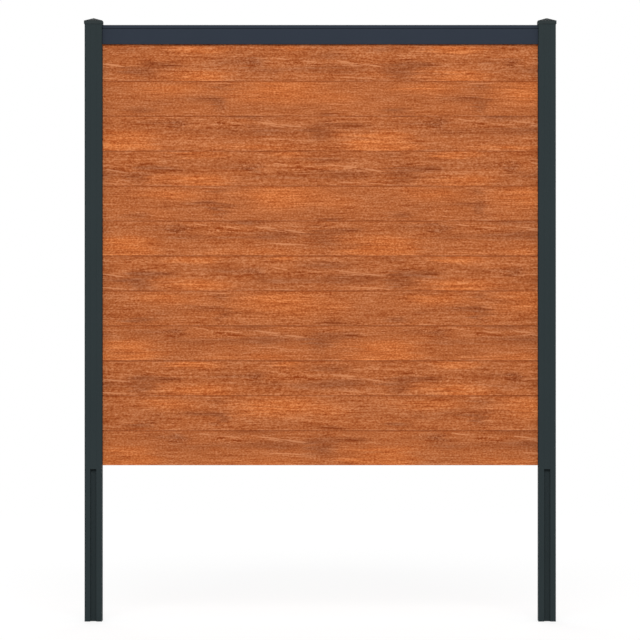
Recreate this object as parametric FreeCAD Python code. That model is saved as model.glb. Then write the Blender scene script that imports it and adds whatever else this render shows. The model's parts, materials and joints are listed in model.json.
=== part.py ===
import FreeCAD, Part
import math
import os

from FreeCAD import Vector

# One bay of a privacy fence, in millimetres: two slotted posts, boards stacked between them, a top rail.
# X runs along the fence, the front faces negative Y and Z is up. The origin lies on the plane of the
# post feet, midway between the posts and in the middle plane of the boards.

# Boards: hollow, with a tongue along the top edge and a groove along the bottom edge
BOARD_COUNT = 12
BOARD_LENGTH = 1787.0
BOARD_COVER = 141.0  # height of face from one joint to the next
BOARD_THICKNESS = 21.0
BOARD_SKIN = 4.0
BOARD_WEB = 3.5
BOARD_CELL_COUNT = 5
BOARD_CELL_RADIUS = 2.0
BOARD_EDGE_CHAMFER = 0.6  # along the bottom edge of the faces
BOARD_RELIEF_HEIGHT = 5.0  # the top edge of each face falls back, so that a shadow line shows at the joint
BOARD_RELIEF_DEPTH = 2.2
BOARD_END_GAP = 6.0  # room to grow between a board's end and the slot floor
TONGUE_THICKNESS = 7.0
TONGUE_HEIGHT = 14.0
TONGUE_LEAD = 1.0
TONGUE_SIDE_CLEARANCE = 0.3
TONGUE_TOP_CLEARANCE = 1.0

# Posts: a hollow core and four hollow corners, with a slot in the middle of each face
LEG_LENGTH = 629.0  # post below the lowest board
POST_RISE = 13.0  # post above the top rail
POST_WIDTH = 70.0
POST_WALL = 2.0
POST_CORNER_RADIUS = 1.5
CORE_SHOULDER = 2.5  # how far the core reaches past the slot on each side

# Edge seals between a board's faces and the walls of its slot
SEAL_THICKNESS = 2.0
SEAL_DEPTH = 10.0
SEAL_NOSE = 2.0  # how far a seal shows out of the slot mouth
SEAL_CLEARANCE = 0.1

# Snap ribs and the grooves that take them
SNAP_WIDTH = 1.6
SNAP_DEPTH = 0.6
SNAP_CLEARANCE = 0.15

# Strips that close the slots which hold no boards
STRIP_DROP = 15.0  # how far a strip runs below the lowest board
STRIP_TOP_GAP = 0.5
STRIP_PLATE = 1.8
STRIP_RECESS = 0.3
STRIP_LEG_DEPTH = 5.2
STRIP_LEG_THICKNESS = 1.3
STRIP_SIDE_CLEARANCE = 0.15
STRIP_SNAP_INSET = 3.0

# Top rail and its snap-on cover
RAIL_GAP = 6.5  # shadow gap between the top board and the rail
RAIL_HEIGHT = 77.5  # with the cover on
RAIL_PROUD = 7.0  # how far each rail face stands out past the boards
RAIL_WALL = 2.0
RAIL_EDGE_RADIUS = 1.2
RAIL_END_GAP = 0.8
RAIL_SEAM = 2.4  # open line under the cover
RAIL_COVER_SKIRT = 13.2
RAIL_COVER_WALL = 2.0
RAIL_COVER_RADIUS = 2.0
RAIL_COVER_CLEARANCE = 0.15
RAIL_SNAP_RISE = 4.0  # from the skirt's lower edge to its snap rib

# Bent angles that carry the rail and the lowest board
BRACKET_THICKNESS = 3.0
BRACKET_BEND_RADIUS = 3.0
BRACKET_SIDE_GAP = 0.5
RAIL_BRACKET_DROP = 46.0
RAIL_BRACKET_REACH = 70.0
BOARD_STOP_DROP = 42.0
BOARD_STOP_REACH = 18.0

# Pan-head screws
SCREW_DIAMETER = 4.8
SCREW_LENGTH = 16.0
SCREW_POINT = 5.0
SCREW_HEAD_DIAMETER = 9.5
SCREW_HEAD_HEIGHT = 3.0
SCREW_HEAD_RADIUS = 1.6
SCREW_RECESS_LENGTH = 5.0
SCREW_RECESS_WIDTH = 1.1
SCREW_RECESS_DEPTH = 1.6
SCREW_CLEARANCE = 0.1
SCREW_SPACING = 18.0
SCREW_EDGE = 9.0  # from the free edge of a bracket leg to its nearest screw

# Post caps: a low pyramid with a skirt round the post and pegs in the post's hollow corners
CAP_SKIRT = 10.0
CAP_WALL = 2.0
CAP_CLEARANCE = 0.5
CAP_ROOF = 4.0
CAP_SEAT = 8.0  # width of the ring that rests on the end of the post
CAP_RISE = 11.5
CAP_CORNER_RADIUS = 3.0
CAP_EDGE_CHAMFER = 0.8
CAP_TIP_WIDTH = 2.0
CAP_TIP_RADIUS = 0.4
CAP_PEG_LENGTH = 25.0
CAP_PEG_RIB = 2.0
CAP_PEG_CLEARANCE = 0.2

# Sizes that follow from the ones above
SLOT_WIDTH = BOARD_THICKNESS + 2 * SEAL_THICKNESS
CORE_WIDTH = SLOT_WIDTH + 2 * CORE_SHOULDER
SLOT_DEPTH = (POST_WIDTH - CORE_WIDTH) / 2
OPENING = BOARD_LENGTH - 2 * (SLOT_DEPTH - BOARD_END_GAP)
SLOT_MOUTH = OPENING / 2
SLOT_FLOOR = SLOT_MOUTH + SLOT_DEPTH
POST_OFFSET = SLOT_MOUTH + POST_WIDTH / 2
BOARDS_TOP = LEG_LENGTH + BOARD_COUNT * BOARD_COVER
RAIL_BOTTOM = BOARDS_TOP + RAIL_GAP
RAIL_TOP = RAIL_BOTTOM + RAIL_HEIGHT
RAIL_LENGTH = OPENING - 2 * RAIL_END_GAP
RAIL_DEPTH = BOARD_THICKNESS + 2 * RAIL_PROUD
RAIL_COVER_FOOT = RAIL_TOP - RAIL_COVER_SKIRT
RAIL_SHOULDER = RAIL_COVER_FOOT - RAIL_SEAM
RAIL_WEB_UNDERSIDE = RAIL_SHOULDER - RAIL_WALL
POST_LENGTH = RAIL_TOP + POST_RISE
GROOVE_WIDTH = TONGUE_THICKNESS + 2 * TONGUE_SIDE_CLEARANCE
GROOVE_DEPTH = TONGUE_HEIGHT + TONGUE_TOP_CLEARANCE
BRACKET_WIDTH = SLOT_WIDTH - 2 * BRACKET_SIDE_GAP
SCREW_HOLE_RADIUS = SCREW_DIAMETER / 2 + SCREW_CLEARANCE

SIDES = {"left": -1, "right": 1}
CUT_MARGIN = 1.0  # how far a cutting shape runs past what it cuts
COINCIDENT = 1e-6


def on_xy(across, along):
    return Vector(across, along, 0)


def on_yz(across, along):
    return Vector(0, across, along)


def on_xz(across, along):
    return Vector(across, 0, along)


def section(points, plane):
    """Flat face inside the given points, with an arc wherever a point gives a radius."""
    corners = [plane(point[0], point[1]) for point in points]
    radii = [point[2] if len(point) > 2 else 0.0 for point in points]
    edges = []
    turns = []
    for index, corner in enumerate(corners):
        before = corners[index - 1] - corner
        after = corners[(index + 1) % len(corners)] - corner
        before.normalize()
        after.normalize()
        half_angle = before.getAngle(after) / 2
        setback = radii[index] / math.tan(half_angle)
        arrive = corner + before * setback
        leave = corner + after * setback
        turns.append((arrive, leave))
        if radii[index] > 0:
            inward = before + after
            inward.normalize()
            middle = corner + inward * (radii[index] / math.sin(half_angle) - radii[index])
            edges.append(Part.Arc(arrive, middle, leave).toShape())
    for index, turn in enumerate(turns):
        start = turn[1]
        end = turns[(index + 1) % len(turns)][0]
        if start.distanceToPoint(end) > COINCIDENT:
            edges.append(Part.LineSegment(start, end).toShape())
    return Part.Face(Part.Wire(Part.sortEdges(edges)[0]))


def rectangle(low_across, low_along, high_across, high_along, radius=0.0):
    return [
        (low_across, low_along, radius),
        (high_across, low_along, radius),
        (high_across, high_along, radius),
        (low_across, high_along, radius),
    ]


def both_halves(half):
    """A half outline followed by its mirror image, in one closed round."""
    return half + [(-point[0], *point[1:]) for point in reversed(half)]


def quarter_turns(shape):
    """Four copies of a shape, a quarter turn apart about the post's axis."""
    return [shape.rotated(Vector(), Vector(0, 0, 1), 90 * turn) for turn in range(4)]


def extruded_along_x(face, length):
    body = face.extrude(Vector(length, 0, 0))
    return body.translated(Vector(-length / 2, 0, 0))


def board_section():
    face = BOARD_THICKNESS / 2
    chamfer = BOARD_EDGE_CHAMFER
    tongue = TONGUE_THICKNESS / 2
    tip = BOARD_COVER + TONGUE_HEIGHT
    half = [
        (GROOVE_WIDTH / 2, GROOVE_DEPTH),
        (GROOVE_WIDTH / 2, 0),
        (face - chamfer, 0),
        (face, chamfer),
        (face, BOARD_COVER - BOARD_RELIEF_HEIGHT),
        (face - BOARD_RELIEF_DEPTH, BOARD_COVER),
        (tongue, BOARD_COVER),
        (tongue, tip - TONGUE_LEAD),
        (tongue - TONGUE_LEAD, tip),
    ]
    solid = section(both_halves(half), on_yz)
    cells_bottom = GROOVE_DEPTH + BOARD_SKIN
    cells_top = BOARD_COVER - BOARD_SKIN
    pitch = (cells_top - cells_bottom + BOARD_WEB) / BOARD_CELL_COUNT
    cell_half = face - BOARD_SKIN
    cells = []
    for index in range(BOARD_CELL_COUNT):
        low = cells_bottom + index * pitch
        high = low + pitch - BOARD_WEB
        cells.append(section(rectangle(-cell_half, low, cell_half, high, BOARD_CELL_RADIUS), on_yz))
    return solid.cut(cells).Faces[0]


def make_boards():
    board = extruded_along_x(board_section(), BOARD_LENGTH)
    boards = {}
    for index in range(BOARD_COUNT):
        height = LEG_LENGTH + index * BOARD_COVER
        boards[f"board_{index + 1:02d}"] = board.translated(Vector(0, 0, height))
    return boards


def post_section():
    half = POST_WIDTH / 2
    slot_half = SLOT_WIDTH / 2
    core = CORE_WIDTH / 2 - POST_WALL
    chamber_low = slot_half + POST_WALL
    chamber_high = half - POST_WALL
    outer = section(rectangle(-half, -half, half, half, POST_CORNER_RADIUS), on_xy)
    slot = section(rectangle(-slot_half, -half - CUT_MARGIN, slot_half, SLOT_DEPTH - half), on_xy)
    snap_half = slot_half + SNAP_DEPTH
    snap_low = STRIP_SNAP_INSET - half
    snap_groove = section(rectangle(-snap_half, snap_low, snap_half, snap_low + SNAP_WIDTH), on_xy)
    chamber = section(rectangle(chamber_low, chamber_low, chamber_high, chamber_high), on_xy)
    cuts = [section(rectangle(-core, -core, core, core), on_xy)]
    for shape in (slot, snap_groove, chamber):
        cuts += quarter_turns(shape)
    return outer.cut(cuts).Faces[0]


def slot_screw_holes(side, heights, start, thickness):
    """Cutters along X for the screws that go into a slot floor, through a wall that begins at start."""
    length = thickness + 2 * CUT_MARGIN
    return [
        Part.makeCylinder(
            SCREW_HOLE_RADIUS,
            length,
            Vector(side * (start - CUT_MARGIN), 0, height),
            Vector(side, 0, 0),
        )
        for height in heights
    ]


def slot_screw_heights(bracket_top, drop):
    lowest = bracket_top - drop + SCREW_EDGE
    return [lowest, lowest + SCREW_SPACING]


def rail_screw_places(side):
    """X of the two upright screws that hold the rail to a bracket, from the bracket's free edge."""
    free_edge = SLOT_FLOOR - RAIL_BRACKET_REACH
    return [side * (free_edge + SCREW_EDGE), side * (free_edge + SCREW_EDGE + SCREW_SPACING)]


def make_post(side):
    body = post_section().extrude(Vector(0, 0, POST_LENGTH))
    body = body.translated(Vector(side * POST_OFFSET, 0, 0))
    heights = slot_screw_heights(LEG_LENGTH, BOARD_STOP_DROP)
    heights += slot_screw_heights(RAIL_WEB_UNDERSIDE, RAIL_BRACKET_DROP)
    return body.cut(slot_screw_holes(side, heights, SLOT_FLOOR, POST_WALL)).Solids[0]


def rounded_square(half, height, radius):
    wire = section(rectangle(-half, -half, half, half, radius), on_xy).OuterWire
    return wire.translated(Vector(0, 0, height))


def make_cap(side):
    socket_half = POST_WIDTH / 2 + CAP_CLEARANCE
    half = socket_half + CAP_WALL
    foot = POST_LENGTH - CAP_SKIRT
    eave = POST_LENGTH + CAP_ROOF
    apex = eave + CAP_RISE
    tip_half = CAP_TIP_WIDTH / 2
    layers = [
        rounded_square(half - CAP_EDGE_CHAMFER, foot, CAP_CORNER_RADIUS - CAP_EDGE_CHAMFER),
        rounded_square(half, foot + CAP_EDGE_CHAMFER, CAP_CORNER_RADIUS),
        rounded_square(half, eave - CAP_EDGE_CHAMFER, CAP_CORNER_RADIUS),
        rounded_square(half - CAP_EDGE_CHAMFER, eave, CAP_CORNER_RADIUS - CAP_EDGE_CHAMFER),
        rounded_square(tip_half, apex, CAP_TIP_RADIUS),
    ]
    outer = Part.makeLoft(layers, True, True)
    socket_face = section(rectangle(-socket_half, -socket_half, socket_half, socket_half), on_xy)
    socket = socket_face.extrude(Vector(0, 0, CAP_SKIRT + CUT_MARGIN))
    socket.translate(Vector(0, 0, foot - CUT_MARGIN))
    hollow_half = POST_WIDTH / 2 - CAP_SEAT
    hollow_layers = [
        rounded_square(hollow_half, POST_LENGTH, CAP_TIP_RADIUS),
        rounded_square(tip_half, POST_LENGTH + CAP_RISE, CAP_TIP_RADIUS),
    ]
    hollow = Part.makeLoft(hollow_layers, True, True)
    shell = outer.cut([socket, hollow])
    cap = shell.fuse(cap_pegs(outer)).removeSplitter()
    return cap.translated(Vector(side * POST_OFFSET, 0, 0)).Solids[0]


def cap_pegs(outer):
    """Four cross-shaped pegs, from inside the post's hollow corners up to the underside of the roof."""
    chamber_low = SLOT_WIDTH / 2 + POST_WALL
    chamber_high = POST_WIDTH / 2 - POST_WALL
    middle = (chamber_low + chamber_high) / 2
    reach = (chamber_high - chamber_low) / 2 - CAP_PEG_CLEARANCE
    rib = CAP_PEG_RIB / 2
    bottom = POST_LENGTH - CAP_PEG_LENGTH
    height = CAP_PEG_LENGTH + CAP_ROOF + CAP_RISE
    wide = section(rectangle(middle - reach, middle - rib, middle + reach, middle + rib), on_xy)
    deep = section(rectangle(middle - rib, middle - reach, middle + rib, middle + reach), on_xy)
    cross = wide.extrude(Vector(0, 0, height)).fuse(deep.extrude(Vector(0, 0, height)))
    cross = cross.translated(Vector(0, 0, bottom))
    base = Part.makeBox(POST_WIDTH, POST_WIDTH, CAP_PEG_LENGTH)
    base.translate(Vector(-POST_WIDTH / 2, -POST_WIDTH / 2, bottom))
    envelope = outer.fuse(base)
    return [peg.common(envelope) for peg in quarter_turns(cross)]


def strip_section():
    """Slot strip in the front face of a post: a flush plate with two legs that snap into the slot."""
    face = -POST_WIDTH / 2
    half = SLOT_WIDTH / 2 - STRIP_SIDE_CLEARANCE
    leg = half - STRIP_LEG_THICKNESS
    outside = face + STRIP_RECESS
    inside = outside + STRIP_PLATE
    leg_end = outside + STRIP_LEG_DEPTH
    catch = face + STRIP_SNAP_INSET + SNAP_CLEARANCE
    ramp_end = face + STRIP_SNAP_INSET + SNAP_WIDTH - SNAP_CLEARANCE
    barb = SLOT_WIDTH / 2 + SNAP_DEPTH - SNAP_CLEARANCE
    outline = [
        (half, outside),
        (half, catch),
        (barb, catch),
        (half, ramp_end),
        (half, leg_end),
        (leg, leg_end),
        (leg, inside),
    ]
    return section(both_halves(outline), on_xy)


def make_strips(side_name, side):
    length = POST_LENGTH - STRIP_TOP_GAP - LEG_LENGTH + STRIP_DROP
    strip = strip_section().extrude(Vector(0, 0, length))
    strip = strip.translated(Vector(0, 0, LEG_LENGTH - STRIP_DROP))
    turns = {"front": 0, "back": 180, "outer": 90 * side}
    strips = {}
    for face_name, turn in turns.items():
        turned = strip.rotated(Vector(), Vector(0, 0, 1), turn)
        turned.translate(Vector(side * POST_OFFSET, 0, 0))
        strips[f"{side_name}_{face_name}_slot_strip"] = turned
    return strips


def make_seals(side_name, side):
    inner = BOARD_THICKNESS / 2 + SEAL_CLEARANCE
    outer = SLOT_WIDTH / 2 - SEAL_CLEARANCE
    nose_radius = (outer - inner) / 2
    nose = side * (SLOT_MOUTH - SEAL_NOSE)
    root = side * (SLOT_MOUTH + SEAL_DEPTH)
    seals = {}
    for face_name, facing in (("front", -1), ("back", 1)):
        outline = [
            (root, facing * inner),
            (nose, facing * inner, nose_radius),
            (nose, facing * outer, nose_radius),
            (root, facing * outer),
        ]
        seal = section(outline, on_xy).extrude(Vector(0, 0, BOARDS_TOP - LEG_LENGTH))
        seals[f"{side_name}_{face_name}_seal"] = seal.translated(Vector(0, 0, LEG_LENGTH))
    return seals


def make_angle(side, top, drop, reach):
    """Bent angle with its upright leg on the slot floor and its flat leg reaching out at the top."""
    back = SLOT_FLOOR
    front = SLOT_FLOOR - BRACKET_THICKNESS
    outline = [
        (side * back, top, BRACKET_BEND_RADIUS + BRACKET_THICKNESS),
        (side * back, top - drop),
        (side * front, top - drop),
        (side * front, top - BRACKET_THICKNESS, BRACKET_BEND_RADIUS),
        (side * (back - reach), top - BRACKET_THICKNESS),
        (side * (back - reach), top),
    ]
    body = section(outline, on_xz).extrude(Vector(0, BRACKET_WIDTH, 0))
    body = body.translated(Vector(0, -BRACKET_WIDTH / 2, 0))
    heights = slot_screw_heights(top, drop)
    return body.cut(slot_screw_holes(side, heights, front, BRACKET_THICKNESS))


def upright_screw_holes(side, bottom, thickness):
    length = thickness + 2 * CUT_MARGIN
    start = bottom - CUT_MARGIN
    return [
        Part.makeCylinder(SCREW_HOLE_RADIUS, length, Vector(place, 0, start))
        for place in rail_screw_places(side)
    ]


def make_rail_bracket(side):
    angle = make_angle(side, RAIL_WEB_UNDERSIDE, RAIL_BRACKET_DROP, RAIL_BRACKET_REACH)
    holes = upright_screw_holes(side, RAIL_WEB_UNDERSIDE - BRACKET_THICKNESS, BRACKET_THICKNESS)
    return angle.cut(holes).Solids[0]


def make_board_stop(side):
    return make_angle(side, LEG_LENGTH, BOARD_STOP_DROP, BOARD_STOP_REACH).Solids[0]


def rail_section():
    """Hollow rail: a groove below for the top board's tongue, two upstands above for the cover."""
    half = RAIL_DEPTH / 2
    groove = GROOVE_WIDTH / 2
    groove_top = BOARDS_TOP + GROOVE_DEPTH
    upstand = half - RAIL_COVER_WALL - RAIL_COVER_CLEARANCE
    upstand_top = RAIL_TOP - RAIL_COVER_WALL - RAIL_COVER_CLEARANCE
    snap_low = RAIL_COVER_FOOT + RAIL_SNAP_RISE
    outer = [
        (groove, groove_top),
        (groove, RAIL_BOTTOM),
        (half, RAIL_BOTTOM, RAIL_EDGE_RADIUS),
        (half, RAIL_SHOULDER),
        (upstand, RAIL_SHOULDER),
        (upstand, snap_low),
        (upstand - SNAP_DEPTH, snap_low),
        (upstand - SNAP_DEPTH, snap_low + SNAP_WIDTH),
        (upstand, snap_low + SNAP_WIDTH),
        (upstand, upstand_top),
        (upstand - RAIL_WALL, upstand_top),
        (upstand - RAIL_WALL, RAIL_SHOULDER),
    ]
    hollow = [
        (groove + RAIL_WALL, groove_top + RAIL_WALL),
        (groove + RAIL_WALL, RAIL_BOTTOM + RAIL_WALL),
        (half - RAIL_WALL, RAIL_BOTTOM + RAIL_WALL),
        (half - RAIL_WALL, RAIL_WEB_UNDERSIDE),
    ]
    return section(both_halves(outer), on_yz).cut(section(both_halves(hollow), on_yz)).Faces[0]


def make_rail():
    rail = extruded_along_x(rail_section(), RAIL_LENGTH)
    holes = []
    for side in SIDES.values():
        holes += upright_screw_holes(side, RAIL_WEB_UNDERSIDE, RAIL_WALL)
    return rail.cut(holes).Solids[0]


def make_rail_cover():
    half = RAIL_DEPTH / 2
    inside = half - RAIL_COVER_WALL
    catch = RAIL_COVER_FOOT + RAIL_SNAP_RISE + SNAP_WIDTH - SNAP_CLEARANCE
    ramp_end = RAIL_COVER_FOOT + RAIL_SNAP_RISE + SNAP_CLEARANCE
    barb = inside - RAIL_COVER_CLEARANCE - SNAP_DEPTH + SNAP_CLEARANCE
    outline = [
        (inside, RAIL_TOP - RAIL_COVER_WALL),
        (inside, catch),
        (barb, catch),
        (inside, ramp_end),
        (inside, RAIL_COVER_FOOT),
        (half, RAIL_COVER_FOOT),
        (half, RAIL_TOP, RAIL_COVER_RADIUS),
    ]
    return extruded_along_x(section(both_halves(outline), on_yz), RAIL_LENGTH)


def make_screw():
    """Screw with its head above the plane Z = 0 and its shank below."""
    shank = SCREW_DIAMETER / 2
    head = SCREW_HEAD_DIAMETER / 2
    outline = [
        (0, -SCREW_LENGTH),
        (shank, SCREW_POINT - SCREW_LENGTH),
        (shank, 0),
        (head, 0),
        (head, SCREW_HEAD_HEIGHT, SCREW_HEAD_RADIUS),
        (0, SCREW_HEAD_HEIGHT),
    ]
    body = section(outline, on_xz).revolve(Vector(), Vector(0, 0, 1), 360)
    long_half = SCREW_RECESS_LENGTH / 2
    short_half = SCREW_RECESS_WIDTH / 2
    recess_face = section(rectangle(-long_half, -short_half, long_half, short_half), on_xy)
    recess = recess_face.extrude(Vector(0, 0, SCREW_RECESS_DEPTH))
    recess.translate(Vector(0, 0, SCREW_HEAD_HEIGHT - SCREW_RECESS_DEPTH))
    return body.cut([recess, recess.rotated(Vector(), Vector(0, 0, 1), 90)]).Solids[0]


def make_slot_screws(bracket_top, drop):
    """The screws that hold both angles at one height to their slot floors, heads towards the boards."""
    screws = []
    for side in SIDES.values():
        screw = make_screw().rotated(Vector(), Vector(0, 1, 0), -90 * side)
        seat = side * (SLOT_FLOOR - BRACKET_THICKNESS)
        for height in slot_screw_heights(bracket_top, drop):
            screws.append(screw.translated(Vector(seat, 0, height)))
    return Part.makeCompound(screws)


def make_rail_screws():
    screws = []
    for side in SIDES.values():
        for place in rail_screw_places(side):
            screws.append(make_screw().translated(Vector(place, 0, RAIL_SHOULDER)))
    return Part.makeCompound(screws)


def make_fence():
    nodes = make_boards()
    for side_name, side in SIDES.items():
        nodes[f"{side_name}_post"] = make_post(side)
        nodes[f"{side_name}_post_cap"] = make_cap(side)
        nodes[f"{side_name}_rail_bracket"] = make_rail_bracket(side)
        nodes[f"{side_name}_board_stop"] = make_board_stop(side)
        nodes.update(make_strips(side_name, side))
        nodes.update(make_seals(side_name, side))
    nodes["top_rail"] = make_rail()
    nodes["top_rail_cover"] = make_rail_cover()
    nodes["rail_bracket_screws"] = make_slot_screws(RAIL_WEB_UNDERSIDE, RAIL_BRACKET_DROP)
    nodes["board_stop_screws"] = make_slot_screws(LEG_LENGTH, BOARD_STOP_DROP)
    nodes["top_rail_screws"] = make_rail_screws()
    return nodes


def main():
    os.makedirs("parts", exist_ok=True)
    for name, shape in make_fence().items():
        shape.exportStep(f"parts/{name}.step")
        print(f"{name}: {len(shape.Solids)} solids, {shape.Volume:.0f} mm3, valid {shape.isValid()}")


main()
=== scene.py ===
import json
import math

import bpy
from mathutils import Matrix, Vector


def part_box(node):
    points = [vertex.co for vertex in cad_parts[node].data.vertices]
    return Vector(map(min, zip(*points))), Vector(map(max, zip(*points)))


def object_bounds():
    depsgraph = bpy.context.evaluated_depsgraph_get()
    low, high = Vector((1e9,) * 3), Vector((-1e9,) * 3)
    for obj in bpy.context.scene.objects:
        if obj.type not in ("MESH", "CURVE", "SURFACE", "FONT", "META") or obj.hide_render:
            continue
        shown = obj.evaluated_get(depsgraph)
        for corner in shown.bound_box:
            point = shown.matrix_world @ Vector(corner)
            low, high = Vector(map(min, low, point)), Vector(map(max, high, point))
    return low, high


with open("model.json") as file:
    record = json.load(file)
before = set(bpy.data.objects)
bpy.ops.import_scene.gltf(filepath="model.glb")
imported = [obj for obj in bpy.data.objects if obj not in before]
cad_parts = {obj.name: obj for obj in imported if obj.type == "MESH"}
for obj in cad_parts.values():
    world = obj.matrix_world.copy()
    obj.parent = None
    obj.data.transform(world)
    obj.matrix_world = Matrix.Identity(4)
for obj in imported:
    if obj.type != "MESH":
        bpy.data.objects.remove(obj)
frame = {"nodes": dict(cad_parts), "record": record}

# One bay of a privacy fence: the finishes of its pieces, the light round it and the camera.
# Metres throughout. Colours are on the everyday 0 to 255 scale and go through linear().

CAD_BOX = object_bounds()
PIECES = frame["record"]["subparts"]

# Camera: level, straight in front of the bay
CAMERA_ACROSS = -0.0009
CAMERA_HEIGHT = 1.215
CAMERA_DISTANCE = 16.0  # from the front face of the posts
CAMERA_LENS = 223.4
CAMERA_SENSOR = 36.0
CAMERA_REACH = 200.0

# Light: an even pale sky, one large soft lamp high in front and a weaker one behind
SKY_STRENGTH = 0.5
LAMP_SIZE = 14.0
LAMP_PLACE = (0.0, -21.8, 11.3)
LAMP_POWER = 3230.0
BACK_LAMP_PLACE = (-2.0, 22.0, 11.0)
BACK_LAMP_POWER = 2400.0

# Floor: the grey that lights the bay from below, and the glow and the grey that the camera sees
FLOOR_SIZE = 80.0
FLOOR_BOUNCE = 0.6
FLOOR_GLOW = 0.72
FLOOR_SHADE = 0.33
FLOOR_FADE = (3.0, 9.0)  # from here to there, the shaded floor turns plain white

# Rail: painted shade in the seam under the cover's lower edge, kept just clear of the cover itself
COVER_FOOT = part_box("top_rail_cover")[0].z
RAIL_SEAM = 0.0023
SEAM_CLEARANCE = 0.0001

# Boards: place and height of one board's face, the painted shade on the relief along its upper edge,
# and how far up the painted highlight along its lower edge reaches
BOARDS_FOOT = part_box("board_01")[0].z
BOARD_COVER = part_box("board_02")[0].z - BOARDS_FOOT
BOARD_COUNT = sum(piece["material_slot"] == "board_composite" for piece in PIECES)
JOINT_SHADE = 0.005
JOINT_FADE = 0.001
# How far up each board's lower edge the painted highlight reaches: full, then gone
EDGE_HIGHLIGHT_FADE = (0.003, 0.005)

# Noise values run from 0 to 1, but most of them lie between these
NOISE_MOST = (0.3, 0.7)
NOISE_MIDDLE = (0.35, 0.65)

# Wood grain: length and height of a grain of each kind, its roughness and its distortion
GRAINS = {
    "broad": (0.24, 0.06, 0.5, 0.0),
    "streaks": (0.30, 0.0085, 0.6, 0.0),
    "fibres": (0.08, 0.0045, 0.6, 0.0),
    "flecks": (0.009, 0.0050, 0.6, 0.0),
    "curls": (0.014, 0.0090, 0.6, 1.5),
    "pores": (0.020, 0.0011, 0.6, 0.0),
}
GRAIN_DEPTH = 1.0
GRAIN_STEP = 3.7  # from board to board through the noise, so that no two boards share their grain
WANDER_SIZE = (0.16, GRAIN_DEPTH, 0.05)  # the slow bends of the grain, and how far they go
WANDER_BEND = 0.016
WISP_SIZE = (0.14, GRAIN_DEPTH, 0.0055)  # slanting breaks in the painted highlight along the lower edge
WISP_SLANT = 0.1

# Wood tone: how far each grain swings it, how far each grain stands up, and what marks add
GRAIN_TONES = {"streaks": 0.7, "fibres": 1.25, "flecks": 1.8, "pores": 0.3}
GRAIN_RELIEF = {"streaks": 0.5, "fibres": 0.6, "pores": 0.4}
STROKE_TONE = 1.5
KNOT_TONE = -0.8
# how far the painted highlight on each board's lower edge lifts the tone
EDGE_HIGHLIGHT_TONE = 0.25
WOOD_DARK = (144, 60, 9)
WOOD_PLAIN = (181, 100, 51)
WOOD_PALE = (211, 136, 90)
# Colour of the painted shade in the joint's relief along each board's upper edge, standing in for its
# shadow
JOINT_SHADE_COLOUR = (128, 53, 11)
DARK_TINT = (0.62, 0.6, 0.67, 1.0)  # what dark and warm patches multiply the colour by
WARM_TINT = (1.35, 1.25, 0.98, 1.0)
TINT_DRIFT = 0.55  # slow change from dark to warm outside the patches
PATCH_MOST = 0.65  # the most tint in a patch, and the sum of spots that gives it
PATCH_FULL = 0.8

# Wood figure: two planks, repeated along the bay. Three boards make a set: the lowest and the
# highest show the first plank, the lowest of them further along it, and the middle one shows
# the second plank.
SET_BOARDS = 3.0
FIGURE_LENGTH = 1.047
FIGURE_START = -0.787  # x where one run of the figure begins
FIGURE_SHIFT = 0.3154  # the lowest board of a set, along and up
FIGURE_LIFT = 0.035
FIGURE_WOBBLE = 0.04  # how far slow bends move the figure, along and up
FIGURE_BEND = 0.015
FEATHER_ALONG = 0.2  # how far streaks and fibres draw out the ends and edges of a patch
FEATHER_UP = 0.03

# Each patch: plank, kind, place of its middle along and up, half length, half height, strength
FIGURE_PATCHES = [
    (0, "dark", 0.065, 0.043, 0.090, 0.060, 1.0),
    (0, "dark", 0.160, 0.066, 0.125, 0.020, 0.9),
    (0, "dark", 0.450, 0.079, 0.210, 0.030, 0.5),
    (0, "dark", 0.530, 0.075, 0.055, 0.035, 0.5),
    (0, "dark", 0.600, 0.040, 0.220, 0.028, 0.55),
    (0, "dark", 0.820, 0.103, 0.170, 0.028, 0.75),
    (0, "dark", 0.890, 0.046, 0.240, 0.034, 0.85),
    (0, "dark", 0.010, 0.126, 0.100, 0.020, 0.45),
    (0, "warm", 0.295, 0.124, 0.160, 0.024, 1.1),
    (0, "warm", 0.350, 0.016, 0.130, 0.036, 0.35),
    (0, "warm", 0.660, 0.128, 0.080, 0.020, 0.75),
    (0, "warm", 0.290, 0.026, 0.230, 0.034, 0.65),
    (0, "warm", 0.305, -0.018, 0.220, 0.032, 1.4),
    (0, "warm", 0.850, -0.022, 0.350, 0.030, 0.6),
    (0, "knot", 0.530, 0.074, 0.040, 0.030, 1.0),
    (0, "knot", 0.470, 0.080, 0.034, 0.024, 0.8),
    (0, "knot", 0.698, 0.070, 0.045, 0.016, 1.0),
    (0, "knot", 0.758, 0.064, 0.035, 0.014, 0.8),
    (0, "knot", 0.085, 0.085, 0.040, 0.020, 0.6),
    (1, "dark", 0.325, 0.066, 0.130, 0.020, 0.7),
    (1, "dark", 0.390, 0.044, 0.050, 0.050, 0.75),
    (1, "dark", 0.385, 0.117, 0.065, 0.022, 0.6),
    (1, "dark", 0.060, 0.022, 0.100, 0.022, 0.8),
    (1, "dark", 0.150, 0.055, 0.130, 0.028, 0.35),
    (1, "dark", 0.830, 0.008, 0.120, 0.018, 0.6),
    (1, "warm", 0.640, 0.095, 0.290, 0.085, 0.9),
    (1, "warm", 0.190, 0.106, 0.220, 0.038, 0.75),
    (1, "warm", 0.900, 0.070, 0.140, 0.050, 0.35),
    (1, "knot", 0.390, 0.024, 0.040, 0.020, 0.6),
    (1, "knot", 0.930, 0.008, 0.070, 0.012, 0.4),
]

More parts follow.
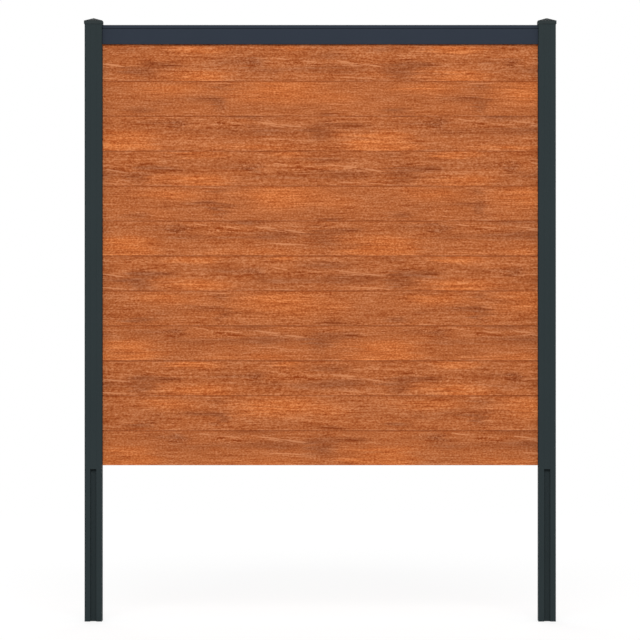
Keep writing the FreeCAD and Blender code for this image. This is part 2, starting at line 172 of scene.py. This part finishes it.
# Each thin stroke: plank, place of its middle along and up, half length, half height,
# fall to the right, and strength, which is below zero for a dark one
FIGURE_STROKES = [
    (0, 0.997, 0.062, 0.060, 0.0036, 0.13, 1.3),
    (0, 0.925, 0.065, 0.060, 0.0028, 0.16, 0.6),
    (0, 0.887, 0.077, 0.070, 0.0032, 0.13, 0.9),
    (0, 0.625, 0.090, 0.045, 0.0030, 0.14, 0.7),
    (0, 0.965, 0.011, 0.140, 0.0028, 0.05, 0.65),
    (0, 0.750, 0.078, 0.045, 0.0028, 0.10, 0.6),
    (0, 0.700, 0.074, 0.030, 0.0050, 0.03, -0.6),
    (0, 0.762, 0.066, 0.045, 0.0036, 0.05, -0.7),
    (0, 0.185, 0.064, 0.055, 0.0040, 0.02, -0.6),
    (0, 0.090, 0.086, 0.040, 0.0036, -0.10, -0.6),
    (0, 0.500, 0.062, 0.030, 0.0040, 0.10, -0.5),
    (1, 0.370, 0.132, 0.065, 0.0026, 0.01, 0.5),
    (1, 0.345, 0.070, 0.080, 0.0034, 0.03, -0.35),
    (1, 0.835, 0.008, 0.080, 0.0036, 0.02, -0.6),
]

# Coats and caps
POST_COLOUR = (44, 53, 55)
RAIL_COLOUR = (46, 53, 64)
COAT_SPREAD = 6  # levels that clouds and grit take off or add
# Painted shade in the rail's seam under the cover: dark colours that stand in for its shadow
SEAM_SHADE_DARK = (15, 17, 22)
SEAM_SHADE_PALE = (24, 27, 33)
CAP_SIDE = ((44, 51, 52), (58, 65, 66))
# Painted shade on the cap's roof, which faces up: its colours are darker than the side's
CAP_ROOF_SHADE = ((27, 31, 32), (38, 43, 44))
ROOF_SHADE_TURN = (0.2, 0.6)  # upward part of the normal, from the cap's side to the painted shade on its roof


def linear(colour):
    """Colour for a shader from the everyday 0 to 255 scale."""
    levels = []
    for value in colour:
        share = value / 255
        levels.append(share / 12.92 if share <= 0.04045 else ((share + 0.055) / 1.055) ** 2.4)
    return (*levels, 1.0)


def grey(level):
    """Grey for a shader, from 0 for black to 1 for white."""
    return (level, level, level, 1.0)


class Graph:
    """The shader nodes of one material or of the sky, with short ways to add and join them."""

    def __init__(self, owner):
        owner.use_nodes = True
        self.owner = owner
        self.tree = owner.node_tree
        self.tree.nodes.clear()

    def add(self, kind, inputs=None, **settings):
        node = self.tree.nodes.new(kind)
        for key, value in settings.items():
            setattr(node, key, value)
        for key, value in (inputs or {}).items():
            self.feed(node.inputs[key], value)
        return node

    def feed(self, socket, value):
        if isinstance(value, bpy.types.NodeSocket):
            self.tree.links.new(value, socket)
        else:
            socket.default_value = value

    def place(self):
        """The place of a point on the object, in metres."""
        return self.add("ShaderNodeTexCoord").outputs["Object"]

    def calc(self, operation, first, second=0.0, third=0.0):
        inputs = {0: first, 1: second, 2: third}
        return self.add("ShaderNodeMath", inputs, operation=operation).outputs[0]

    def times(self, first, second):
        return self.calc("MULTIPLY", first, second)

    def total(self, values):
        result = values[0]
        for value in values[1:]:
            result = self.calc("ADD", result, value)
        return result

    def tone(self, swings):
        """The middle of a colour ramp, moved by the sum of the swings."""
        return self.calc("ADD", self.total(swings), 0.5)

    def vector(self, along=0.0, across=0.0, up=0.0):
        return self.add("ShaderNodeCombineXYZ", {0: along, 1: across, 2: up}).outputs[0]

    def split(self, vector):
        """X, Y and Z of a vector."""
        return self.add("ShaderNodeSeparateXYZ", {0: vector}).outputs

    def noise(self, place, size, detail=2.0, roughness=0.5, distortion=0.0):
        """Noise with grains of the given size along X, Y and Z."""
        counts = [1 / length for length in size]
        counted = self.add("ShaderNodeVectorMath", {0: place, 1: counts}, operation="MULTIPLY")
        inputs = {
            "Vector": counted.outputs[0],
            "Scale": 1.0,
            "Detail": detail,
            "Roughness": roughness,
            "Distortion": distortion,
        }
        return self.add("ShaderNodeTexNoise", inputs).outputs[0]

    def swing(self, value, amount):
        """A noise value turned into a swing of the given amount about zero."""
        return self.calc("MULTIPLY_ADD", value, amount, -amount / 2)

    def range(self, value, low, high, start=0.0, end=1.0, way="LINEAR"):
        """Low where the value is at start, high where it is at end."""
        inputs = {"Value": value, "From Min": start, "From Max": end, "To Min": low, "To Max": high}
        return self.add("ShaderNodeMapRange", inputs, interpolation_type=way).outputs[0]

    def ramp(self, value, stops):
        """Colours blended along the value, from pairs of position and colour."""
        node = self.add("ShaderNodeValToRGB", {0: value})
        elements = node.color_ramp.elements
        while len(elements) < len(stops):
            elements.new(1.0)
        for element, (position, colour) in zip(elements, stops):
            element.position = position
            element.color = linear(colour)
        return node.outputs[0]

    def mix(self, share, first, second, way="MIX"):
        node = self.add("ShaderNodeMix", data_type="RGBA", blend_type=way)
        for index, value in ((0, share), (6, first), (7, second)):
            self.feed(node.inputs[index], value)
        return node.outputs[2]

    def bump(self, height, depth, strength):
        inputs = {"Height": height, "Distance": depth, "Strength": strength}
        return self.add("ShaderNodeBump", inputs).outputs[0]

    def finish(self, **inputs):
        """Ends a material in one surface shader and returns the material."""
        named = {key.replace("_", " "): value for key, value in inputs.items()}
        surface = self.add("ShaderNodeBsdfPrincipled", named)
        self.add("ShaderNodeOutputMaterial", {"Surface": surface.outputs[0]})
        return self.owner


def new_graph(name):
    """An empty material to build."""
    return Graph(bpy.data.materials.new(name))


def figure_spots(graph, place, plank, along, up, half_length, half_height, fall, strength):
    """One soft spot of the figure. A spot that crosses an end of the figure shows at both ends."""
    reach = half_length + (FIGURE_WOBBLE + FEATHER_ALONG) / 2
    spots = []
    for middle in (along - FIGURE_LENGTH, along, along + FIGURE_LENGTH):
        if not -reach < middle < FIGURE_LENGTH + reach:
            continue
        inputs = {
            "Vector": place,
            "Location": (middle, plank, up),
            "Rotation": (0.0, math.atan(fall), 0.0),
            "Scale": (half_length, 0.5, half_height),
        }
        local = graph.add("ShaderNodeMapping", inputs, vector_type="TEXTURE").outputs[0]
        spot = graph.add("ShaderNodeTexGradient", {0: local}, gradient_type="SPHERICAL").outputs[1]
        spots.append(graph.times(spot, strength))
    return spots


def figure_patches(graph, place):
    """Sums of the figure's patches, by kind."""
    sums = {}
    for plank, kind, along, up, half_length, half_height, strength in FIGURE_PATCHES:
        spots = figure_spots(graph, place, plank, along, up, half_length, half_height, 0.0, strength)
        sums.setdefault(kind, []).extend(spots)
    return {kind: graph.total(values) for kind, values in sums.items()}


def figure_strokes(graph, place):
    """Sum of the figure's pale and dark strokes."""
    spots = []
    for stroke in FIGURE_STROKES:
        spots.extend(figure_spots(graph, place, *stroke))
    return graph.total(spots)


def figure_place(graph, along, board, board_up, broad, wander):
    """Place on the figure: along the plank, which plank, and up the plank."""
    set_row = graph.calc("FLOORED_MODULO", board, SET_BOARDS)
    lowest = graph.calc("LESS_THAN", set_row, 0.5)
    plank = graph.calc("COMPARE", set_row, 1.0, 0.25)
    plank_along = graph.calc("MULTIPLY_ADD", lowest, FIGURE_SHIFT, along)
    plank_along = graph.calc("WRAP", plank_along, FIGURE_START + FIGURE_LENGTH, FIGURE_START)
    plank_along = graph.calc("SUBTRACT", plank_along, FIGURE_START)
    plank_along = graph.calc("ADD", plank_along, graph.swing(broad, FIGURE_WOBBLE))
    plank_up = graph.calc("MULTIPLY_ADD", lowest, -FIGURE_LIFT, board_up)
    plank_up = graph.calc("ADD", plank_up, graph.swing(wander, FIGURE_BEND))
    return plank_along, plank, plank_up


def wood_grains(graph, place):
    """The noises of the wood grain, by kind."""
    grains = {}
    for kind, (length, height, roughness, distortion) in GRAINS.items():
        size = (length, GRAIN_DEPTH, height)
        grains[kind] = graph.noise(place, size, roughness=roughness, distortion=distortion)
    return grains


def painted_edge_highlight(graph, along, own_depth, bent_height, board_up):
    """One where the lower edge of a board is painted pale as a highlight, broken up by slanting wisps."""
    slant_height = graph.calc("MULTIPLY_ADD", along, WISP_SLANT, bent_height)
    wisps = graph.noise(graph.vector(along, own_depth, slant_height), WISP_SIZE, detail=1.0)
    edge = graph.range(board_up, 1.0, 0.0, *EDGE_HIGHLIGHT_FADE)
    return graph.times(edge, graph.range(wisps, 0.0, 1.0, 0.45, 0.6))


def joint_shade(graph, board, board_up, grains):
    """Share of painted shade along a board's upper edge, where the relief lies under the board above. The
    highest board has no joint above it.
    """
    edge = BOARD_COVER - JOINT_SHADE
    joint = graph.range(board_up, 0.0, 1.0, edge - JOINT_FADE, edge)
    joint = graph.times(joint, graph.calc("LESS_THAN", board, BOARD_COUNT - 1.5))
    joint = graph.times(joint, graph.range(grains["broad"], 0.15, 0.6, *NOISE_MIDDLE))
    return graph.times(joint, graph.range(grains["fibres"], 0.5, 1.3, *NOISE_MIDDLE))


def tinted_wood(graph, colour, patches, grains):
    """The colour under streaky dark and warm patches."""
    streaky = graph.range(grains["streaks"], 0.6, 1.4, *NOISE_MOST)
    drift = graph.swing(grains["broad"], TINT_DRIFT)
    for kind, tint, change in (("dark", DARK_TINT, "SUBTRACT"), ("warm", WARM_TINT, "ADD")):
        patch = graph.range(patches[kind], 0.0, PATCH_MOST, 0.0, PATCH_FULL, "SMOOTHSTEP")
        share = graph.calc(change, graph.times(patch, streaky), drift)
        colour = graph.mix(share, colour, tint, "MULTIPLY")
    return colour


def board_wood():
    """Printed wood grain on a composite board: grain, figure, a painted highlight along the lower edge
    and painted shade in the joint.
    """
    graph = new_graph("board_wood")
    along, depth, level = graph.split(graph.place())
    height = graph.calc("SUBTRACT", level, BOARDS_FOOT)
    board = graph.calc("FLOOR", graph.calc("DIVIDE", height, BOARD_COVER))
    board_up = graph.calc("FLOORED_MODULO", height, BOARD_COVER)

    own_depth = graph.calc("MULTIPLY_ADD", board, GRAIN_STEP, depth)
    wander = graph.noise(graph.vector(along, own_depth, level), WANDER_SIZE, detail=3.0)
    bent_height = graph.calc("ADD", level, graph.swing(wander, WANDER_BEND))
    grains = wood_grains(graph, graph.vector(along, own_depth, bent_height))
    fibres = grains["fibres"]

    plank_along, plank, plank_up = figure_place(graph, along, board, board_up, grains["broad"], wander)
    strokes = figure_strokes(graph, graph.vector(plank_along, plank, plank_up))
    feather_along = graph.calc("ADD", plank_along, graph.swing(grains["streaks"], FEATHER_ALONG))
    feather_up = graph.calc("ADD", plank_up, graph.swing(fibres, FEATHER_UP))
    patches = figure_patches(graph, graph.vector(feather_along, plank, feather_up))

    strokes = graph.times(strokes, graph.range(fibres, 0.5, 1.2, *NOISE_MOST))
    knots = graph.times(patches["knot"], graph.range(grains["curls"], -1.0, 1.0, *NOISE_MOST))
    # painted highlight along each board's lower edge
    edge_highlight = painted_edge_highlight(graph, along, own_depth, bent_height, board_up)
    swings = [graph.swing(grains[kind], amount) for kind, amount in GRAIN_TONES.items()]
    for mark, amount in ((strokes, STROKE_TONE), (knots, KNOT_TONE), (edge_highlight, EDGE_HIGHLIGHT_TONE)):
        swings.append(graph.times(mark, amount))
    colour = graph.ramp(graph.tone(swings), [(0.0, WOOD_DARK), (0.5, WOOD_PLAIN), (1.0, WOOD_PALE)])
    colour = tinted_wood(graph, colour, patches, grains)
    # painted shade: the joint's relief along each board's upper edge takes a darker colour, as if in
    # shadow
    colour = graph.mix(joint_shade(graph, board, board_up, grains), colour, linear(JOINT_SHADE_COLOUR))

    relief = graph.total([graph.times(grains[kind], amount) for kind, amount in GRAIN_RELIEF.items()])
    return graph.finish(
        Base_Color=colour,
        Roughness=graph.range(fibres, 0.62, 0.8),
        Specular_IOR_Level=0.12,
        Normal=graph.bump(relief, depth=0.0006, strength=0.5),
    )


def powder_coat(name, middle, seam_shade=None):
    """Fine satin powder coat on aluminium, with a slight orange peel and faint cloudiness.

    Between the two heights given last, the coat's colour turns to painted shade, dark as the shadow in
    the seam under the rail's cover.
    """
    graph = new_graph(name)
    place = graph.place()
    clouds = graph.noise(place, size=(0.18, 0.18, 0.45), detail=3.0)
    grit = graph.noise(place, size=(0.0012, 0.0012, 0.0012))
    peel = graph.noise(place, size=(0.004, 0.004, 0.004), detail=1.0)
    tone = graph.tone([graph.swing(clouds, 0.5), graph.swing(grit, 0.5)])
    darkest = [level - COAT_SPREAD for level in middle]
    palest = [level + COAT_SPREAD for level in middle]
    colour = graph.ramp(tone, [(0.0, darkest), (1.0, palest)])
    if seam_shade:
        level = graph.split(place)["Z"]
        above = graph.calc("GREATER_THAN", level, seam_shade[0])
        below = graph.calc("LESS_THAN", level, seam_shade[1])
        # painted shade in the seam between the two heights
        painted_shade = graph.ramp(grit, [(0.2, SEAM_SHADE_DARK), (0.8, SEAM_SHADE_PALE)])
        colour = graph.mix(graph.times(above, below), colour, painted_shade)
    relief = graph.calc("MULTIPLY_ADD", grit, 0.4, peel)
    return graph.finish(
        Base_Color=colour,
        Roughness=graph.range(clouds, 0.5, 0.62),
        Specular_IOR_Level=0.05,
        Normal=graph.bump(relief, depth=0.00012, strength=0.4),
    )


def cap_plastic():
    """Moulded plastic with a fine spark-eroded grain, with painted shade on the upward-facing roof of the
    cap.
    """
    graph = new_graph("cap_plastic")
    place = graph.place()
    grain = graph.noise(place, size=(0.0009, 0.0009, 0.0009), detail=3.0, roughness=0.6)
    clouds = graph.noise(place, size=(0.05, 0.05, 0.05))
    tone = graph.tone([graph.swing(clouds, 0.5), graph.swing(grain, 0.6)])
    side, roof = (graph.ramp(tone, [(0.0, dark), (1.0, pale)]) for dark, pale in (CAP_SIDE, CAP_ROOF_SHADE))
    upward = graph.split(graph.add("ShaderNodeNewGeometry").outputs["Normal"])["Z"]
    return graph.finish(
        # painted shade: faces turned upward take the darker roof colours
        Base_Color=graph.mix(graph.range(upward, 0.0, 1.0, *ROOF_SHADE_TURN), side, roof),
        Roughness=graph.range(grain, 0.55, 0.7),
        Specular_IOR_Level=0.02,
        Normal=graph.bump(grain, depth=0.0001, strength=0.5),
    )


def seal_rubber():
    """Black rubber with extrusion lines along its length and a little bloom."""
    graph = new_graph("seal_rubber")
    place = graph.place()
    lines = graph.noise(place, size=(0.0007, 0.0007, 0.6))
    bloom = graph.noise(place, size=(0.02, 0.02, 0.06), detail=3.0)
    return graph.finish(
        Base_Color=graph.ramp(bloom, [(0.25, (24, 24, 25)), (0.75, (36, 36, 36))]),
        Roughness=graph.range(bloom, 0.7, 0.85),
        Specular_IOR_Level=0.3,
        Normal=graph.bump(lines, depth=0.0001, strength=0.5),
    )


def mill_aluminium():
    """Bare aluminium with rolling lines."""
    graph = new_graph("mill_aluminium")
    place = graph.place()
    lines = graph.noise(place, size=(0.0006, 0.0006, 0.09), detail=3.0, roughness=0.6)
    clouds = graph.noise(place, size=(0.02, 0.02, 0.02))
    tone = graph.total([graph.swing(lines, 0.6), clouds])
    return graph.finish(
        Base_Color=graph.ramp(tone, [(0.2, (188, 190, 192)), (0.8, (212, 213, 215))]),
        Metallic=1.0,
        Roughness=graph.range(lines, 0.3, 0.48),
        Normal=graph.bump(lines, depth=0.00005, strength=0.4),
    )


def screw_steel():
    """Stainless steel with fine turning marks."""
    graph = new_graph("screw_steel")
    place = graph.place()
    marks = graph.noise(place, size=(0.0004, 0.0004, 0.0004), detail=3.0, roughness=0.6)
    clouds = graph.noise(place, size=(0.003, 0.003, 0.003))
    return graph.finish(
        Base_Color=graph.ramp(clouds, [(0.2, (168, 168, 170)), (0.8, (198, 198, 199))]),
        Metallic=1.0,
        Roughness=graph.range(marks, 0.22, 0.4),
        Normal=graph.bump(marks, depth=0.00004, strength=0.4),
    )


def dress_pieces():
    """Gives each piece of the frame the finish of its slot."""
    # the band under the cover's lower edge that takes painted shade
    rail_seam_shade = (COVER_FOOT - RAIL_SEAM, COVER_FOOT - SEAM_CLEARANCE)
    finishes = {
        "board_composite": board_wood(),
        "powder_coat": powder_coat("post_coat", POST_COLOUR),
        "rail_coat": powder_coat("rail_coat", RAIL_COLOUR, rail_seam_shade),
        "cap_plastic": cap_plastic(),
        "seal_rubber": seal_rubber(),
        "mill_aluminium": mill_aluminium(),
        "screw_steel": screw_steel(),
    }
    for piece in PIECES:
        for slot in frame["nodes"][piece["node"]].material_slots:
            slot.material = finishes[piece["material_slot"]]


def seen_rays(graph):
    """One for a ray from the camera, a reflection or a clear body, zero for light on surfaces."""
    path = graph.add("ShaderNodeLightPath").outputs
    seen = path["Is Camera Ray"]
    for name in ("Is Glossy Ray", "Is Transmission Ray"):
        seen = graph.calc("MAXIMUM", seen, path[name])
    return seen


def mix_shaders(graph, share, first, second):
    return graph.add("ShaderNodeMixShader", {0: share, 1: first, 2: second}).outputs[0]


def floor_white():
    """White that glows to the camera, takes a soft shadow near the bay, and lights it from below."""
    graph = new_graph("floor_white")
    plain = graph.add("ShaderNodeBsdfDiffuse", {"Color": grey(FLOOR_BOUNCE)}).outputs[0]
    shaded = graph.add("ShaderNodeBsdfDiffuse", {"Color": grey(FLOOR_SHADE)}).outputs[0]
    glow = graph.add("ShaderNodeEmission", {"Color": grey(1.0), "Strength": FLOOR_GLOW}).outputs[0]
    near = graph.add("ShaderNodeAddShader", {0: shaded, 1: glow}).outputs[0]
    far = graph.add("ShaderNodeEmission", {"Color": grey(1.0), "Strength": 1.0}).outputs[0]
    away = graph.add("ShaderNodeVectorMath", {0: graph.place()}, operation="LENGTH").outputs["Value"]
    white = mix_shaders(graph, graph.range(away, 0.0, 1.0, *FLOOR_FADE), near, far)
    surface = mix_shaders(graph, seen_rays(graph), plain, white)
    graph.add("ShaderNodeOutputMaterial", {"Surface": surface})
    return graph.owner


def make_floor():
    half = FLOOR_SIZE / 2
    corners = [(-half, -half, 0), (half, -half, 0), (half, half, 0), (-half, half, 0)]
    mesh = bpy.data.meshes.new("floor")
    mesh.from_pydata(corners, [], [(0, 1, 2, 3)])
    mesh.materials.append(floor_white())
    floor = bpy.data.objects.new("floor", mesh)
    bpy.context.scene.collection.objects.link(floor)


def make_lamp(name, place, power):
    """A round soft lamp that points at the middle of the bay."""
    lamp = bpy.data.lights.new(name, "AREA")
    lamp.shape = "DISK"
    lamp.size = LAMP_SIZE
    lamp.energy = power
    holder = bpy.data.objects.new(name, lamp)
    bpy.context.scene.collection.objects.link(holder)
    low, high = CAD_BOX
    aim = (low + high) / 2
    holder.location = place
    holder.rotation_euler = (aim - holder.location).to_track_quat("-Z", "Y").to_euler()


def make_light():
    """The sky, which the camera sees as plain white, and the two lamps."""
    graph = Graph(bpy.data.worlds.new("sky"))
    pale = graph.add("ShaderNodeBackground", {"Color": grey(1.0), "Strength": SKY_STRENGTH}).outputs[0]
    white = graph.add("ShaderNodeBackground", {"Color": grey(1.0), "Strength": 1.0}).outputs[0]
    surface = mix_shaders(graph, seen_rays(graph), pale, white)
    graph.add("ShaderNodeOutputWorld", {"Surface": surface})
    bpy.context.scene.world = graph.owner
    make_lamp("front_lamp", LAMP_PLACE, LAMP_POWER)
    make_lamp("back_lamp", BACK_LAMP_PLACE, BACK_LAMP_POWER)


def make_camera():
    camera = bpy.data.cameras.new("camera")
    camera.lens = CAMERA_LENS
    camera.sensor_width = CAMERA_SENSOR
    camera.clip_end = CAMERA_REACH
    holder = bpy.data.objects.new("camera", camera)
    bpy.context.scene.collection.objects.link(holder)
    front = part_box("left_post")[0].y
    holder.location = (CAMERA_ACROSS, front - CAMERA_DISTANCE, CAMERA_HEIGHT)
    holder.rotation_euler = (math.radians(90), 0, 0)
    bpy.context.scene.camera = holder


bpy.context.scene.view_settings.view_transform = "Standard"
dress_pieces()
make_floor()
make_light()
make_camera()
